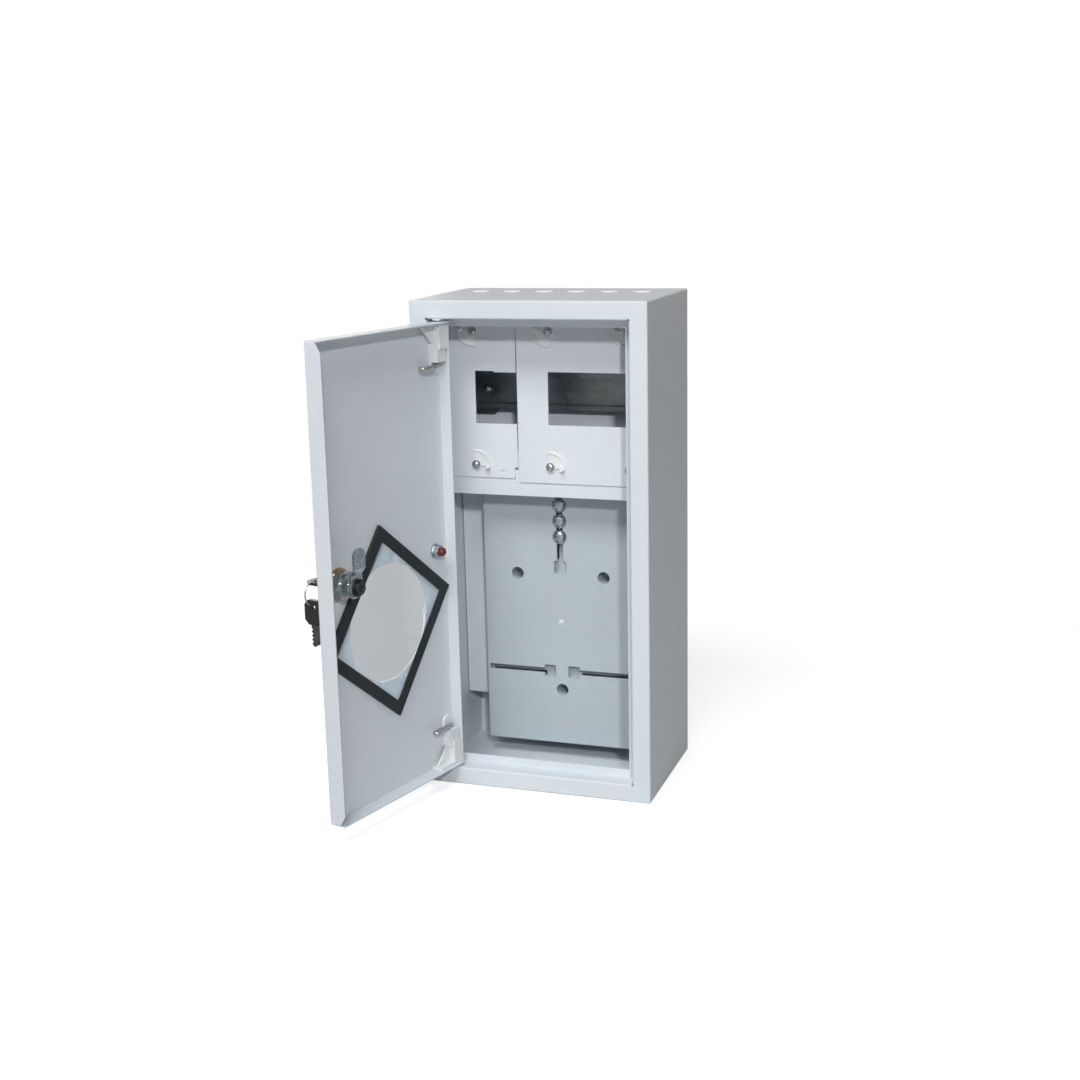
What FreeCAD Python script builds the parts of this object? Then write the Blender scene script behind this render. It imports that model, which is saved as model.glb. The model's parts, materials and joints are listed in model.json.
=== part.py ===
import FreeCAD, Part
import os
import re
import Sketcher

# Wall-mounted electric meter box with a hinged, lockable door.
# Frame: origin at the centre of the four wall fixing holes, on the back face.
# X runs to the right seen from the front, Y into the wall, Z up. Millimetres.
# Door pieces are drawn with the door shut, in a frame on the hinge axis:
# X towards the free edge, Y into the box. Their placement then opens the door.

doc = FreeCAD.newDocument("meter_box")
dims = doc.addObject("Spreadsheet::Sheet", "Dims")

SIZES = {
    # How far a cutting tool runs past the face it opens
    "overcut": 1,
    # Folded enclosure
    "box_width": 210,
    "box_height": 435,
    "box_depth": 140,
    "sheet": 1.0,
    "bend_radius": 1.6,
    "flange": 16,
    "return_depth": 18,
    "lip_width": 7.5,
    "corner_relief": 2.0,
    "wall_hole_spacing_x": 150,
    "wall_hole_spacing_z": 375,
    "wall_hole_radius": 3.5,
    # Cable entries in the top wall
    "entry_pitch": 30,
    "entry_setback": 42,
    "entry_radius": 7,
    "plug_cap_radius": 8.5,
    "plug_cap_height": 1.0,
    "plug_stem_length": 7,
    "plug_wall": 1.4,
    "plug_bevel": 0.6,
    "plug_clearance": 0.2,
    # Inner frame and the two module covers
    "cover_recess": 50,
    "cover_sheet": 1.0,
    "cover_edge_gap": 1.0,
    "cover_split": 0.8,
    "cover_split_x": -27,
    "cover_top": 200.5,
    "left_cover_bottom": 56.5,
    "right_cover_bottom": 53.2,
    "left_window_start": -65.6,
    "left_window_step_x": -48,
    "left_window_step": 1.0,
    "right_window_start": 2,
    "right_window_width": 72,
    "window_height": 46.5,
    "cover_notch_width": 3,
    "cover_notch_height": 10,
    "pilot_hole_radius": 1.5,
    "pilot_hole_inset": 14.5,
    "pilot_hole_rise": 6,
    "tie_hole_radius": 1.4,
    "left_screw_x": -66.7,
    "right_screw_inset": 1,
    "cover_screw_top": 187,
    "cover_screw_bottom": 68,
    "inner_frame_bottom": 40.8,
    "inner_frame_top": 212,
    "inner_frame_depth": 20,
    "inner_opening_side": 9,
    "inner_opening_bottom": 81.5,
    "inner_opening_top": 176,
    # Cover screws and the sealing tabs under their heads
    "screw_radius": 2,
    "screw_head_radius": 4.2,
    "screw_head_height": 2.8,
    "screw_length": 9,
    "screw_clearance": 0.3,
    "thread_clearance": 0.05,
    "cross_width": 1.2,
    "cross_reach": 2.3,
    "cross_depth": 1.4,
    "tab_radius": 13.5,
    "tab_thickness": 1.2,
    "tab_rim": 1.6,
    "tab_rim_height": 0.7,
    "tab_hub_radius": 5,
    "tab_span": 110,
    "tab_turn": 10,
    "nub_radius": 2.2,
    "nub_tip_radius": 1.1,
    "nub_height": 4,
    # Mounting panel, rail and rail brackets
    "panel_standoff": 35,
    "panel_bottom": -165.5,
    "panel_top": 198,
    "panel_foot": 14,
    "rail_height": 128.5,
    "rail_width": 35,
    "rail_mouth": 27,
    "rail_depth": 7.5,
    "rail_sheet": 1.0,
    "rail_end_gap": 8,
    "rail_screw_inset": 26,
    "rail_screw_tip": 3,
    "bracket_sheet": 1.5,
    "bracket_edge_gap": 5,
    "bracket_length": 36,
    "bracket_half_height": 23.5,
    "bracket_chamfer": 5,
    # Moulded meter plate
    "plate_half_width": 74,
    "plate_bottom": -200.5,
    "plate_top": 46.5,
    "plate_depth": 25,
    "plate_wall": 2.5,
    "plate_edge_radius": 1.8,
    "post_x": 41.2,
    "post_z": -38.2,
    "lower_post_z": -147.9,
    "post_radius": 8,
    "counterbore_radius": 5.75,
    "post_seat": 7,
    "post_hole_radius": 2.3,
    "slot_width": 6,
    "slot_pocket": 11.5,
    "slot_pocket_z": -30.5,
    "side_slot_width": 5,
    "side_slot_z": -130,
    "side_pocket": 11,
    "side_pocket_x": 11.6,
    "side_slot_end": 71,
    "plate_rib": 1.8,
    "plate_rib_gap": 1,
    "channel_depth": 5,
    "gate_mark_radius": 1.3,
    "gate_mark_z": -82,
    "gate_mark_height": 0.7,
    "plate_screw_head": 4.2,
    "plate_screw_length": 14,
    # Meter fixing screws in the vertical slot
    "meter_screw_first": -2,
    "meter_screw_pitch": 14.6,
    "meter_head_radius": 7,
    "meter_head_height": 4.2,
    "meter_shank_radius": 2.5,
    "meter_shank_length": 7,
    "meter_slot_width": 1.4,
    "meter_slot_depth": 1.6,
    "meter_slot_angle": 35,
    "nut_side": 10,
    "nut_thickness": 4,
    # Door tray
    "door_gap": 2.5,
    "door_sheet": 1.0,
    "door_depth": 15,
    "free_flange": 16.5,
    "hinge_flange": 12,
    "door_corner_cut": 6,
    "door_corner_rise": 9.6,
    "hinge_inset": 6,
    "hinge_setback": 5.4,
    "open_angle": 104,
    "window_drop": 47,
    "pane_edge_gap": 0.5,
    "pane_excess": 7,
    "pane_lap": 5.5,
    "pane_thickness": 2,
    "pane_turn": 38,
    "strip_width": 10,
    "strip_overhang": 2.5,
    "strip_thickness": 0.9,
    # Hinge blocks, pins and bushes
    "hinge_clearance": 0.3,
    "pin_radius": 1.5,
    "pin_bend": 3,
    "pin_lever": 27,
    "pin_return": 15,
    "pin_loop": 2.6,
    "pin_engagement": 5,
    "block_wall": 2,
    "block_reach": 31,
    "gusset_setback": 2.5,
    "gusset_height": 17,
    "gusset_lap": 1,
    "boss_width": 12,
    "boss_head_height": 22,
    "boss_height": 33,
    "neck_inset": 2,
    "neck_overhang": 2,
    "neck_step": 1.5,
    "tongue_length": 11,
    "tongue_corner": 3,
    "bush_radius": 3.4,
    "bush_collar_radius": 5,
    "bush_collar": 1.2,
    "bush_length": 6,
    # Cam lock
    "lock_edge": 24.5,
    "barrel_radius": 9.5,
    "barrel_clearance": 0.15,
    "barrel_bore": 6.5,
    "barrel_end": 19,
    "lock_head_radius": 12.5,
    "lock_head_height": 2.5,
    "lock_head_bevel": 1,
    "ring_radius": 14,
    "ring_thickness": 1.6,
    "lock_nut_radius": 12.5,
    "lock_nut_thickness": 8,
    "keyway_clearance": 0.3,
    "cam_sheet": 2,
    "cam_width": 14,
    "cam_end_radius": 6.5,
    "cam_reach": 33,
    "cam_tail": 8.5,
    "cam_joggle": 4,
    "cam_joggle_start": 11,
    "cam_joggle_run": 5,
    "cam_square": 7,
    "cam_washer_radius": 7.5,
    "cam_washer_thickness": 1.5,
    "cam_bolt_radius": 3,
    "cam_bolt_head": 5.5,
    "cam_bolt_head_height": 2.8,
    "cam_bolt_socket": 2.6,
    "cam_bolt_socket_depth": 1.6,
    "cam_bolt_length": 6,
    # Keys and their ring
    "key_blade_length": 19,
    "key_blade_width": 7,
    "key_blade_thickness": 2,
    "key_cut": 1.6,
    "key_cut_half_width": 1.36,
    "key_shoulder": 1,
    "key_point": 2.3,
    "key_standoff": 2,
    "key_tang": 6,
    "bow_length": 23,
    "bow_half_width": 8.6,
    "bow_thickness": 2.4,
    "bow_corner": 4,
    "bow_hole_radius": 5.2,
    "bow_hole_offset": 15,
    "key_ring_radius": 10.5,
    "key_wire_radius": 0.6,
    "key_ring_slack": 0.9,
    "key_ring_offset": 6.5,
    "spare_head_height": 21,
    "spare_head_half_width": 9,
    "spare_head_thickness": 4,
    "spare_hole_radius": 2.6,
    "spare_hole_rim": 3,
    # Earth stud on the door
    "stud_edge": 17,
    "stud_radius": 3,
    "stud_length": 8.4,
    "washer_radius": 6.5,
    "washer_thickness": 1.4,
    "earth_nut_radius": 5.8,
    "earth_nut_thickness": 5,
    "cap_radius": 3.9,
    "cap_length": 2.6,
    "cap_crown": 2.6,
}

# Values that follow from the sizes above, written as formulas.
DERIVED = {
    "half_width": "box_width / 2",
    "half_height": "box_height / 2",
    "inner_half_width": "half_width - sheet",
    "inner_half_height": "half_height - sheet",
    "open_half_width": "half_width - flange",
    "open_half_height": "half_height - flange",
    "lip_back": "box_depth - return_depth",
    "cover_face": "box_depth - cover_recess",
    "cover_back": "cover_face - cover_sheet",
    "frame_back": "cover_back - sheet",
    "cover_left_edge": "-inner_half_width + cover_edge_gap",
    "cover_right_edge": "inner_half_width - cover_edge_gap",
    "left_cover_end": "cover_split_x - cover_split / 2",
    "right_cover_start": "cover_split_x + cover_split / 2",
    "window_low": "rail_height - window_height / 2",
    "window_high": "rail_height + window_height / 2",
    "right_screw_a": "right_window_start + right_screw_inset",
    "right_screw_b": "right_window_start + right_window_width + right_screw_inset",
    "tab_seat": "cover_face + tab_thickness",
    "panel_back": "panel_standoff - sheet",
    "bracket_front": "panel_standoff + bracket_sheet",
    "bracket_outer": "inner_half_width - bracket_edge_gap",
    "bracket_inner": "bracket_outer - bracket_length",
    "rail_half_length": "inner_half_width - rail_end_gap",
    "rail_screw_x": "bracket_outer - rail_screw_inset",
    "rail_front": "bracket_front + rail_depth",
    "rail_web_front": "bracket_front + rail_sheet",
    "plate_front": "panel_standoff + plate_depth",
    "plate_inside": "plate_front - plate_wall",
    "channel_floor": "plate_inside - channel_depth",
    "slot_top": "plate_top - 2 * plate_wall",
    "post_face": "panel_standoff + post_seat",
    "door_width": "2 * (open_half_width - door_gap)",
    "door_half_height": "open_half_height - door_gap",
    "pane_reach": "door_width / 2 - door_sheet - pane_edge_gap",
    "pane_slant": "cos(pane_turn) + sin(pane_turn)",
    "pane_outer": "2 * (pane_reach - pane_excess / 2 * sin(pane_turn)) / (pane_slant)",
    "pane_width": "pane_outer - 2 * strip_overhang",
    "pane_length": "pane_width + pane_excess",
    "window_radius": "pane_width / 2 - pane_lap",
    "door_left": "-hinge_inset",
    "door_right": "door_width - hinge_inset",
    "door_front": "-hinge_setback",
    "door_inner": "door_sheet - hinge_setback",
    "door_back": "door_depth - hinge_setback",
    "free_back": "free_flange - hinge_setback",
    "hinge_back": "hinge_flange - hinge_setback",
    "pivot_x": "-open_half_width + door_gap + hinge_inset",
    "pivot_y": "hinge_setback - box_depth",
    "door_middle": "(door_left + door_right) / 2",
    "tray_top": "door_half_height - door_sheet",
    "tray_side": "door_left + door_sheet",
    "pin_bore": "pin_radius + hinge_clearance",
    "boss_low": "tray_top - boss_height",
    "boss_back": "hinge_back - hinge_clearance",
    "tongue_back": "-pin_bore - hinge_clearance",
    "pin_top": "open_half_height + pin_engagement",
    "pin_elbow": "boss_low - pin_bend",
    "lock_x": "door_right - lock_edge",
    "lock_face": "door_front - lock_head_height",
    "barrel_back": "door_front + barrel_end",
    "ring_back": "door_inner + ring_thickness",
    "plug_radius": "barrel_bore - hinge_clearance",
    "cam_front": "barrel_back + hinge_clearance",
    "cam_back": "cam_front + cam_sheet",
    "cam_washer_back": "cam_back + cam_washer_thickness",
    "keyway_half_width": "key_blade_width / 2 + keyway_clearance",
    "keyway_half_height": "key_blade_thickness / 2 + keyway_clearance",
    "bow_front": "lock_face - key_standoff",
    "bow_back": "bow_front - bow_length",
    "bow_hole_y": "bow_front - bow_hole_offset",
    "key_tip": "bow_front + key_blade_length",
    "ring_top": "bow_thickness / 2 + key_wire_radius + key_ring_slack",
    "ring_low": "ring_top - 2 * key_ring_radius",
    "ring_x": "lock_x + key_ring_offset",
    "spare_hole_top": "ring_low + key_wire_radius + key_ring_slack",
    "spare_hole_z": "spare_hole_top - spare_hole_radius",
    "spare_top": "spare_hole_top + spare_hole_rim",
    "spare_low": "spare_top - spare_head_height",
    "spare_tip": "spare_low - key_blade_length",
    "stud_x": "door_left + stud_edge",
    "stud_end": "door_inner + stud_length",
    "washer_back": "door_inner + washer_thickness",
    "earth_nut_back": "washer_back + earth_nut_thickness",
}

for row, (alias, value) in enumerate(SIZES.items(), start=1):
    dims.set(f"A{row}", alias)
    dims.set(f"B{row}", str(value))
    dims.setAlias(f"B{row}", alias)
doc.recompute()


def formula(text):
    """Write a size formula in terms of the spreadsheet's cells."""
    def expand(match):
        word = match.group()
        if word in SIZES:
            return "Dims." + word
        if word in DERIVED:
            return "(" + formula(DERIVED[word]) + ")"
        return word
    return re.sub(r"[a-z][a-z_]*", expand, str(text))


def number(text):
    return float(dims.evalExpression(formula(text)))


def bind(obj, prop, text):
    obj.setExpression(prop, formula(text))


def put(obj, x="0", y="0", z="0"):
    for axis, text in zip("xyz", (x, y, z)):
        bind(obj, "Placement.Base." + axis, text)
    return obj


# Sketches, pads and pockets

def pin_point(sketch, geometry, vertex, x, y):
    for kind, text in (("DistanceX", x), ("DistanceY", y)):
        constraint = Sketcher.Constraint(kind, -1, 1, geometry, vertex, number(text))
        index = sketch.addConstraint(constraint)
        bind(sketch, f"Constraints[{index}]", text)


def draw_polygon(sketch, points):
    first = sketch.GeometryCount
    corners = [FreeCAD.Vector(number(x), number(y), 0) for x, y in points]
    count = len(points)
    for i in range(count):
        sketch.addGeometry(Part.LineSegment(corners[i], corners[(i + 1) % count]), False)
    for i in range(count):
        following = first + (i + 1) % count
        sketch.addConstraint(Sketcher.Constraint("Coincident", first + i, 2, following, 1))
    for i, (x, y) in enumerate(points):
        pin_point(sketch, first + i, 1, x, y)


def draw_circle(sketch, x, y, radius):
    centre = FreeCAD.Vector(number(x), number(y), 0)
    circle = Part.Circle(centre, FreeCAD.Vector(0, 0, 1), number(radius))
    geometry = sketch.addGeometry(circle, False)
    pin_point(sketch, geometry, 3, x, y)
    index = sketch.addConstraint(Sketcher.Constraint("Radius", geometry, number(radius)))
    bind(sketch, f"Constraints[{index}]", radius)


def rectangle(x0, x1, y0, y1):
    return [(x0, y0), (x1, y0), (x1, y1), (x0, y1)]


def frame_rectangle(half_x, half_y):
    return rectangle(f"-({half_x})", half_x, f"-({half_y})", half_y)


def new_body(name):
    return doc.addObject("PartDesign::Body", name)


def new_sketch(body, plane, offset, loops):
    sketch = body.newObject("Sketcher::SketchObject", body.Name + "_sketch")
    support = [part for part in body.Origin.OriginFeatures if part.Role == plane][0]
    sketch.AttachmentSupport = (support, [""])
    sketch.MapMode = "FlatFace"
    bind(sketch, "AttachmentOffset.Base.z", offset)
    for loop in loops:
        if isinstance(loop, list):
            draw_polygon(sketch, loop)
        else:
            draw_circle(sketch, *loop)
    return sketch


def pad(body, plane, start, end, loops):
    """Add material from start to end along the plane's normal."""
    feature = body.newObject("PartDesign::Pad", body.Name + "_pad")
    feature.Profile = new_sketch(body, plane, start, loops)
    bind(feature, "Length", f"({end}) - ({start})")
    body.Tip = feature
    return feature


def pocket(body, plane, start, end, loops):
    """Remove material from end back to start along the plane's normal."""
    feature = body.newObject("PartDesign::Pocket", body.Name + "_pocket")
    feature.Profile = new_sketch(body, plane, end, loops)
    bind(feature, "Length", f"({end}) - ({start})")
    body.Tip = feature
    return feature


def round_edges(body, radius, wanted, kind="Fillet", size="Radius"):
    """Round or bevel the edges of the body's last feature whose middle point is wanted."""
    doc.recompute()
    base = body.Tip
    names = []
    for index, edge in enumerate(base.Shape.Edges, start=1):
        middle = edge.valueAt((edge.FirstParameter + edge.LastParameter) / 2)
        if wanted(edge, middle):
            names.append(f"Edge{index}")
    feature = body.newObject("PartDesign::" + kind, body.Name + "_" + kind.lower())
    feature.Base = (base, names)
    bind(feature, size, radius)
    body.Tip = feature


def near(a, b):
    return abs(a - b) < 0.01


# Primitives and booleans

def box(x, y, z):
    """A block between two limits on each axis."""
    block = doc.addObject("Part::Box", "block")
    for prop, (low, high) in zip(("Length", "Width", "Height"), (x, y, z)):
        bind(block, prop, f"({high}) - ({low})")
    return put(block, x[0], y[0], z[0])


ALONG = {
    "x": FreeCAD.Rotation(FreeCAD.Vector(0, 1, 0), 90),
    "y": FreeCAD.Rotation(FreeCAD.Vector(1, 0, 0), -90),
    "-y": FreeCAD.Rotation(FreeCAD.Vector(1, 0, 0), 90),
    "z": FreeCAD.Rotation(),
}


def along(obj, axis, x, y, z):
    obj.Placement = FreeCAD.Placement(FreeCAD.Vector(), ALONG[axis])
    return put(obj, x, y, z)


def rod(axis, x, y, z, radius, length):
    """A cylinder that starts at the point and runs along the axis."""
    cylinder = doc.addObject("Part::Cylinder", "rod")
    bind(cylinder, "Radius", radius)
    bind(cylinder, "Height", length)
    return along(cylinder, axis, x, y, z)


def cone(axis, x, y, z, radius, end_radius, length):
    solid = doc.addObject("Part::Cone", "cone")
    bind(solid, "Radius1", radius)
    bind(solid, "Radius2", end_radius)
    bind(solid, "Height", length)
    return along(solid, axis, x, y, z)


def hexagon(axis, x, y, z, corner_radius, length):
    prism = doc.addObject("Part::Prism", "hexagon")
    prism.Polygon = 6
    bind(prism, "Circumradius", corner_radius)
    bind(prism, "Height", length)
    return along(prism, axis, x, y, z)


def dome(axis, x, y, z, radius, height, towards=-1):
    """A spherical cap with its flat base at the point and its crown along the axis (1) or against it (-1)."""
    ball = doc.addObject("Part::Sphere", "dome")
    crown = f"(({radius}) ^ 2 + ({height}) ^ 2) / (2 * ({height}))"
    bind(ball, "Radius", crown)
    centre = {"x": x, "y": y, "z": z}
    centre[axis] = f"({centre[axis]}) - {towards} * ({crown} - ({height}))"
    put(ball, centre["x"], centre["y"], centre["z"])
    reach = f"({radius}) * 2"
    limits = {a: (f"({t}) - {reach}", f"({t}) + {reach}") for a, t in zip("xyz", (x, y, z))}
    base = {"x": x, "y": y, "z": z}[axis]
    limits[axis] = (f"({base}) - {reach}", base) if towards < 0 else (base, f"({base}) + {reach}")
    return common(ball, box(limits["x"], limits["y"], limits["z"]))


def fuse(*parts):
    solid = doc.addObject("Part::MultiFuse", "fuse")
    solid.Shapes = list(parts)
    return solid


def cut(base, *tools):
    solid = doc.addObject("Part::Cut", "cut")
    solid.Base = base
    solid.Tool = tools[0] if len(tools) == 1 else fuse(*tools)
    return solid


def common(first, second):
    solid = doc.addObject("Part::Common", "common")
    solid.Base = first
    solid.Tool = second
    return solid


def group(*parts):
    """Separate like pieces kept together as one sub-part."""
    compound = doc.addObject("Part::Compound", "group")
    compound.Links = list(parts)
    return compound


NODES = []


def node(label, obj):
    obj.Label = label
    NODES.append(obj)
    return obj


def door_node(label, obj):
    """A sub-part drawn in the door's frame, swung open about the hinge axis."""
    put(obj, "pivot_x", "pivot_y", "0")
    bind(obj, "Placement.Rotation.Angle", "-open_angle")
    return node(label, obj)


# Enclosure

COVER_SCREWS = [
    ("left_screw_x", "cover_screw_top", True),
    ("left_screw_x", "cover_screw_bottom", False),
    ("right_screw_a", "cover_screw_top", True),
    ("right_screw_a", "cover_screw_bottom", False),
    ("right_screw_b", "cover_screw_top", True),
    ("right_screw_b", "cover_screw_bottom", False),
]
ENTRY_STEPS = (-2.5, -1.5, -0.5, 0.5, 1.5, 2.5)
SIGNS = (-1, 1)


def make_shell():
    body = new_body("shell")
    pad(body, "XZ_Plane", "0", "box_depth", [frame_rectangle("half_width", "half_height")])
    round_edges(body, "bend_radius", lambda edge, middle: True)
    pocket(body, "XZ_Plane", "box_depth - sheet", "box_depth",
           [frame_rectangle("open_half_width", "open_half_height")])
    pocket(body, "XZ_Plane", "sheet", "box_depth - sheet",
           [frame_rectangle("inner_half_width", "inner_half_height")])
    pad(body, "XZ_Plane", "lip_back", "box_depth - sheet / 2", [
        frame_rectangle("open_half_width + sheet", "open_half_height + sheet"),
        frame_rectangle("open_half_width", "open_half_height")])
    pad(body, "XZ_Plane", "lip_back", "lip_back + sheet", [
        frame_rectangle("open_half_width + sheet / 2", "open_half_height + sheet / 2"),
        frame_rectangle("open_half_width - lip_width", "open_half_height - lip_width")])
    front = -number("box_depth")
    side = number("open_half_width")
    top = number("open_half_height")
    round_edges(body, "bend_radius", lambda edge, middle: near(middle.y, front) and (
        near(abs(middle.x), side) or near(abs(middle.z), top)))
    corners = []
    for x_sign in SIGNS:
        for z_sign in SIGNS:
            x = f"{x_sign} * open_half_width"
            z = f"{z_sign} * open_half_height"
            r = "corner_relief / 2"
            corners.append(rectangle(f"{x} - {r}", f"{x} + {r}", f"{z} - {r}", f"{z} + {r}"))
    pocket(body, "XZ_Plane", "lip_back + sheet", "box_depth", corners)
    entries = [(f"{step} * entry_pitch", "-entry_setback", "entry_radius") for step in ENTRY_STEPS]
    pocket(body, "XY_Plane", "inner_half_height", "half_height", entries)
    wall_holes = []
    for x_sign in SIGNS:
        for z_sign in SIGNS:
            wall_holes.append((f"{x_sign} * wall_hole_spacing_x / 2",
                               f"{z_sign} * wall_hole_spacing_z / 2", "wall_hole_radius"))
    pocket(body, "XZ_Plane", "0", "sheet", wall_holes)
    bush_hole = [("pivot_x", "pivot_y", "bush_radius")]
    pocket(body, "XY_Plane", "open_half_height", "open_half_height + sheet", bush_hole)
    pocket(body, "XY_Plane", "-open_half_height - sheet", "-open_half_height", bush_hole)
    return body


def make_entry_plug(step):
    x = f"{step} * entry_pitch"
    y = "-entry_setback"
    stem_low = "half_height - plug_stem_length"
    cap = cone("z", x, y, "half_height", "plug_cap_radius", "plug_cap_radius - plug_bevel",
               "plug_cap_height")
    stem = rod("z", x, y, stem_low, "entry_radius - plug_clearance", "plug_stem_length")
    hollow = rod("z", x, y, stem_low, "entry_radius - plug_clearance - plug_wall",
                 "plug_stem_length - plug_wall")
    return cut(fuse(cap, stem), hollow)


def make_inner_frame():
    body = new_body("inner_frame")
    side = "inner_half_width"
    low = "inner_frame_bottom"
    high = "inner_frame_top"
    pad(body, "XZ_Plane", "cover_back - inner_frame_depth", "cover_back",
        [rectangle(f"-{side}", side, low, high)])
    pocket(body, "XZ_Plane", "cover_back - inner_frame_depth", "frame_back",
           [rectangle(f"-{side} + sheet", f"{side} - sheet", f"{low} + sheet", f"{high} - sheet")])
    opening = rectangle(f"-{side} + inner_opening_side", f"{side} - inner_opening_side",
                        "inner_opening_bottom", "inner_opening_top")
    holes = [(x, z, "screw_radius + thread_clearance") for x, z, turned in COVER_SCREWS]
    notch_top = "left_cover_bottom + cover_notch_height"
    tie_hole = ("left_cover_end - tie_hole_radius", f"{notch_top} - tie_hole_radius", "tie_hole_radius")
    pocket(body, "XZ_Plane", "frame_back", "cover_back", [opening] + holes + [tie_hole])
    return body


def make_left_cover():
    body = new_body("left_cover")
    low = "left_cover_bottom"
    end = "left_cover_end"
    outline = [
        ("cover_left_edge", low),
        (f"{end} - cover_notch_width", low),
        (f"{end} - cover_notch_width", f"{low} + cover_notch_height"),
        (end, f"{low} + cover_notch_height"),
        (end, "window_low"),
        ("left_window_start", "window_low"),
        ("left_window_start", "window_high"),
        ("left_window_step_x", "window_high"),
        ("left_window_step_x", "window_high - left_window_step"),
        (end, "window_high - left_window_step"),
        (end, "cover_top"),
        ("cover_left_edge", "cover_top"),
    ]
    holes = [(x, z, "screw_radius + screw_clearance") for x, z, turned in COVER_SCREWS[:2]]
    pilot = (f"{end} - pilot_hole_inset", f"{low} + pilot_hole_rise", "pilot_hole_radius")
    pad(body, "XZ_Plane", "cover_back", "cover_face", [outline] + holes + [pilot])
    return body


def make_right_cover():
    body = new_body("right_cover")
    outline = rectangle("right_cover_start", "cover_right_edge", "right_cover_bottom", "cover_top")
    window = rectangle("right_window_start", "right_window_start + right_window_width",
                       "window_low", "window_high")
    holes = [(x, z, "screw_radius + screw_clearance") for x, z, turned in COVER_SCREWS[2:]]
    pad(body, "XZ_Plane", "cover_back", "cover_face", [outline, window] + holes)
    return body


def make_cover_screw(x, z):
    """Pan-head cross-recess screw seated on its sealing tab."""
    seat = "-tab_seat"
    shank = rod("y", x, seat, z, "screw_radius", "screw_length")
    head = dome("y", x, seat, z, "screw_head_radius", "screw_head_height")
    top = "-tab_seat - screw_head_height"
    depth = (f"{top} - overcut", f"{top} + cross_depth")
    reach = "cross_reach"
    half = "cross_width / 2"
    across = box((f"{x} - {reach}", f"{x} + {reach}"), depth, (f"{z} - {half}", f"{z} + {half}"))
    upright = box((f"{x} - {half}", f"{x} + {half}"), depth, (f"{z} - {reach}", f"{z} + {reach}"))
    return cut(fuse(shank, head), across, upright)


def make_seal_tab(x, z, turned):
    """Sealing sector: a hub under the screw head, a fan with a raised rim and a conical nub."""
    rise = "tab_rim_height"
    fan = rod("-y", "0", "tab_thickness", "0", "tab_radius", "tab_thickness")
    bind(fan, "Angle", "tab_span")
    rim_outer = rod("-y", "0", "0", "0", "tab_radius", rise)
    bind(rim_outer, "Angle", "tab_span")
    rim = cut(rim_outer, rod("-y", "0", "0", "0", "tab_radius - tab_rim", rise))
    hub = rod("-y", "0", "tab_thickness", "0", "tab_hub_radius", "tab_thickness")
    nub = cone("-y", "tab_radius - nub_radius", "0", "0", "nub_radius", "nub_tip_radius", "nub_height")
    foot = rod("-y", "tab_radius - nub_radius", "tab_thickness", "0", "nub_radius", "tab_thickness")
    hole = rod("-y", "0", "tab_thickness", "0", "screw_radius + screw_clearance", f"tab_thickness + {rise}")
    tab = cut(fuse(fan, rim, hub, nub, foot), hole)
    tab.Placement = FreeCAD.Placement(FreeCAD.Vector(), FreeCAD.Rotation(FreeCAD.Vector(0, 1, 0), 1))
    bind(tab, "Placement.Rotation.Angle", "tab_turn + 180" if turned else "tab_turn")
    return put(tab, x, "-tab_seat", z)


def make_panel():
    """Mounting panel: a folded hat whose feet stand on the back wall."""
    body = new_body("panel")
    side = "inner_half_width - cover_edge_gap"
    pad(body, "XZ_Plane", "sheet", "panel_standoff", [
        rectangle(f"-({side})", side, "panel_bottom", "panel_top")])
    pocket(body, "XZ_Plane", "2 * sheet", "panel_back", [
        rectangle(f"-({side}) + sheet", f"{side} - sheet", "panel_bottom - overcut", "panel_top + overcut")])
    pocket(body, "XZ_Plane", "sheet", "2 * sheet", [
        rectangle(f"-({side}) + panel_foot", f"{side} - panel_foot",
                  "panel_bottom - overcut", "panel_top + overcut")])
    holes = [(x, z, "screw_radius + thread_clearance") for x, z in plate_posts()]
    holes += [(f"{sign} * rail_screw_x", "rail_height", "screw_radius + thread_clearance") for sign in SIGNS]
    pocket(body, "XZ_Plane", "panel_back", "panel_standoff", holes)
    return body


# Rail

def make_rail():
    """Top-hat rail with a plain web."""
    body = new_body("rail")
    back = "bracket_front"
    front = "rail_front"
    outer = "rail_width / 2"
    mouth = "rail_mouth / 2"
    t = "rail_sheet"
    profile = []
    for sign, order in ((1, 1), (-1, -1)):
        side = [
            (f"-({back})", f"rail_height + {sign} * ({mouth})"),
            (f"-({front}) + {t}", f"rail_height + {sign} * ({mouth})"),
            (f"-({front}) + {t}", f"rail_height + {sign} * ({outer})"),
            (f"-({front})", f"rail_height + {sign} * ({outer})"),
            (f"-({front})", f"rail_height + {sign} * ({mouth} - {t})"),
            (f"-({back}) - {t}", f"rail_height + {sign} * ({mouth} - {t})"),
        ]
        profile += side[::order]
    pad(body, "YZ_Plane", "-rail_half_length", "rail_half_length", [profile])
    holes = [(f"{sign} * rail_screw_x", "rail_height", "screw_radius + screw_clearance") for sign in SIGNS]
    pocket(body, "XZ_Plane", "bracket_front", "rail_web_front", holes)
    return body


def make_rail_bracket(sign):
    """Zinc plate between the panel and one end of the rail, with its inner corners cut."""
    body = new_body("bracket")
    low = "rail_height - bracket_half_height"
    high = "rail_height + bracket_half_height"
    outer = f"{sign} * bracket_outer"
    inner = f"{sign} * bracket_inner"
    cut_x = f"{sign} * (bracket_inner + bracket_chamfer)"
    outline = [
        (outer, low),
        (cut_x, low),
        (inner, f"{low} + bracket_chamfer"),
        (inner, f"{high} - bracket_chamfer"),
        (cut_x, high),
        (outer, high),
    ]
    hole = (f"{sign} * rail_screw_x", "rail_height", "screw_radius + screw_clearance")
    pad(body, "XZ_Plane", "panel_standoff", "bracket_front", [outline, hole])
    return body


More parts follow.
